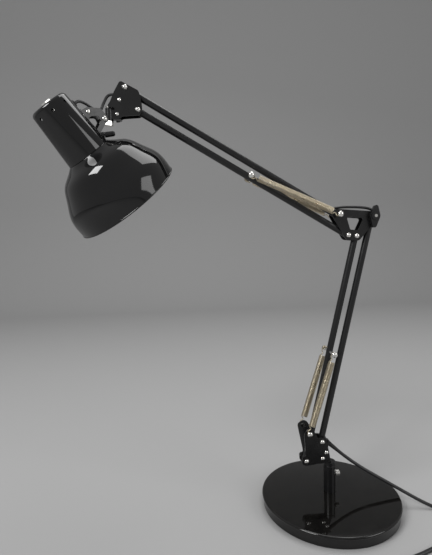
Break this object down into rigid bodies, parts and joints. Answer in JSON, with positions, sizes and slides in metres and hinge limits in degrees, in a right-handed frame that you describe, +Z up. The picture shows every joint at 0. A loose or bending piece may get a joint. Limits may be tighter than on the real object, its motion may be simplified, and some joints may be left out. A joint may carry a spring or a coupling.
{
  "type": "spring-balanced desk lamp",
  "caption": "Desk lamp on a round weighted base: two linked parallel-tube arms held by springs carry a flared metal shade that swivels and tilts.",
  "frame": {"origin": "centre of the round base's underside, where it stands on the table", "axes": "+Z up, +X towards the side that the elbow leans to, +Y to the back, away from the viewer; the arms lie in the XZ plane"},
  "size_m": [0.6415, 0.3545, 0.6991],
  "materials": {
    "black_enamel": "gloss",
    "arm_black": "satin",
    "cast_iron": "rough",
    "pad_felt": "matte",
    "plated": "polished",
    "spring_wire": "satin",
    "black_plastic": "gloss",
    "brass": "satin",
    "bulb_glass": "frosted",
    "rubber": "matte",
    "cord": "satin"
  },
  "bodies": {
    "base": {"base_cover": "black_enamel", "base_weight": "cast_iron", "base_pad": "pad_felt", "socket_tube": "arm_black", "socket_nut": "plated"},
    "post_screw": {"thumb_screw": "plated"},
    "bracket": {"swivel_post": "arm_black", "bracket_cheek_near": "arm_black", "bracket_cheek_far": "arm_black", "foot_rivets": "plated", "foot_spacers": "plated", "cord_grip": "rubber", "foot_lead": "cord", "mains_cord": "cord", "cord_coil": "cord", "cord_tie": "cord", "plug_body": "black_plastic", "plug_pins": "brass"},
    "lower_arm": {"front_tube": "arm_black", "lower_spring_pin": "plated"},
    "elbow": {"elbow_plate_near": "arm_black", "elbow_plate_far": "arm_black", "elbow_rivets": "plated", "elbow_spacers": "plated"},
    "rear_tube": {"rear_tube": "arm_black", "lower_lead": "cord", "elbow_lead_rear": "cord"},
    "lower_anchor": {"lower_spring_studs": "plated"},
    "lower_springs": {"lower_spring_near": "spring_wire", "lower_spring_far": "spring_wire"},
    "upper_arm": {"lower_tube": "arm_black", "upper_spring_pin": "plated"},
    "top_tube": {"top_tube": "arm_black", "upper_lead": "cord", "elbow_lead_front": "cord"},
    "upper_anchor": {"elbow_spring_pin": "plated"},
    "upper_springs": {"upper_spring_near": "spring_wire", "upper_spring_far": "spring_wire"},
    "head_bracket": {"head_cheek_near": "arm_black", "head_cheek_far": "arm_black", "head_rivets": "plated", "head_spacers": "plated", "head_knuckle": "arm_black", "bracket_lead": "cord"},
    "head_swivel": {"swivel_pin": "plated"},
    "head": {"neck_cap": "black_enamel", "shade": "black_enamel", "lamp_holder": "black_plastic", "holder_fittings": "plated", "bulb_cap": "brass", "bulb_glass": "bulb_glass", "grommet": "rubber", "head_strap": "arm_black", "strap_bolts": "plated", "tilt_struts": "arm_black", "switch_bush": "black_plastic", "head_lead": "cord"},
    "elbow_knob": {"wing_knob": "black_plastic"},
    "switch_knob": {"switch_knob": "black_plastic"}
  },
  "joints": [
    {"name": "base_swivel", "type": "hinge", "parent": "base", "child": "bracket", "pos_m": [0, 0, 0.05], "axis": [0, 0, 1], "range_deg": [-180, 180]},
    {"name": "post_screw_turn", "type": "hinge", "parent": "base", "child": "post_screw", "pos_m": [0, 0, 0.054], "axis": [1, 0, 0], "continuous": true},
    {"name": "lower_arm_lean", "type": "hinge", "parent": "bracket", "child": "lower_arm", "pos_m": [-0.042, 0, 0.0815], "axis": [0, 1, 0], "range_deg": [-45, 8]},
    {"name": "elbow_level", "type": "hinge", "parent": "lower_arm", "child": "elbow", "pos_m": [0.0468, 0, 0.45715], "axis": [0, 1, 0], "range_deg": [-8, 45]},
    {"name": "rear_tube_lean", "type": "hinge", "parent": "elbow", "child": "rear_tube", "pos_m": [0.0743, 0, 0.48865], "axis": [0, 1, 0], "range_deg": [-45, 8], "deforming": ["elbow_lead_rear", "foot_lead"]},
    {"name": "lower_spring_lean", "type": "hinge", "parent": "bracket", "child": "lower_anchor", "pos_m": [-0.0405, 0, 0.1347], "axis": [0, 1, 0], "range_deg": [-61, 11]},
    {"name": "lower_spring_stretch", "type": "slide", "parent": "lower_anchor", "child": "lower_springs", "axis": [0.3058, 0, 0.9521], "range_m": [-0.002, 0.009], "deforming": ["lower_spring_near", "lower_spring_far"]},
    {"name": "upper_arm_lift", "type": "hinge", "parent": "elbow", "child": "upper_arm", "pos_m": [0.0328, 0, 0.45865], "axis": [0, 1, 0], "range_deg": [-55, 12]},
    {"name": "top_tube_lift", "type": "hinge", "parent": "elbow", "child": "top_tube", "pos_m": [0.0143, 0, 0.49215], "axis": [0, 1, 0], "range_deg": [-55, 12], "deforming": ["elbow_lead_front"]},
    {"name": "upper_spring_lift", "type": "hinge", "parent": "elbow", "child": "upper_anchor", "pos_m": [0.0143, 0, 0.49215], "axis": [0, 1, 0], "range_deg": [-60.5, 13.5]},
    {"name": "upper_spring_stretch", "type": "slide", "parent": "upper_anchor", "child": "upper_springs", "axis": [-0.9157, 0, 0.4019], "range_m": [-0.0075, 0.0335], "deforming": ["upper_spring_near", "upper_spring_far"]},
    {"name": "head_level", "type": "hinge", "parent": "upper_arm", "child": "head_bracket", "pos_m": [-0.30048, 0, 0.65732], "axis": [0, 1, 0], "range_deg": [-12, 55], "deforming": ["bracket_lead"]},
    {"name": "head_swivel_turn", "type": "hinge", "parent": "head_bracket", "child": "head_swivel", "pos_m": [-0.3447, 0, 0.65], "axis": [0, 0, 1], "range_deg": [-115, 50]},
    {"name": "head_tilt", "type": "hinge", "parent": "head_swivel", "child": "head", "pos_m": [-0.354, -0.00568, 0.6415], "axis": [-0.521, 0.8536, 0], "range_deg": [-20, 40], "deforming": ["head_lead"]},
    {"name": "elbow_knob_turn", "type": "hinge", "parent": "elbow", "child": "elbow_knob", "pos_m": [0.0743, -0.013, 0.48865], "axis": [0, 1, 0], "continuous": true},
    {"name": "switch_turn", "type": "hinge", "parent": "head", "child": "switch_knob", "pos_m": [-0.35238, -0.02381, 0.61476], "axis": [0.9812, 0.1053, 0.1619], "continuous": true}
  ],
  "couplings": [
    {"joint": "elbow_level", "follows": "lower_arm_lean", "ratio": -1},
    {"joint": "rear_tube_lean", "follows": "lower_arm_lean", "ratio": 1},
    {"joint": "lower_spring_lean", "follows": "lower_arm_lean", "ratio": 1.345},
    {"joint": "lower_spring_stretch", "follows": "lower_arm_lean", "m_per_rad": -0.011},
    {"joint": "top_tube_lift", "follows": "upper_arm_lift", "ratio": 1},
    {"joint": "upper_spring_lift", "follows": "upper_arm_lift", "ratio": 1.09},
    {"joint": "upper_spring_stretch", "follows": "upper_arm_lift", "m_per_rad": -0.0344},
    {"joint": "head_level", "follows": "upper_arm_lift", "ratio": -1}
  ]
}
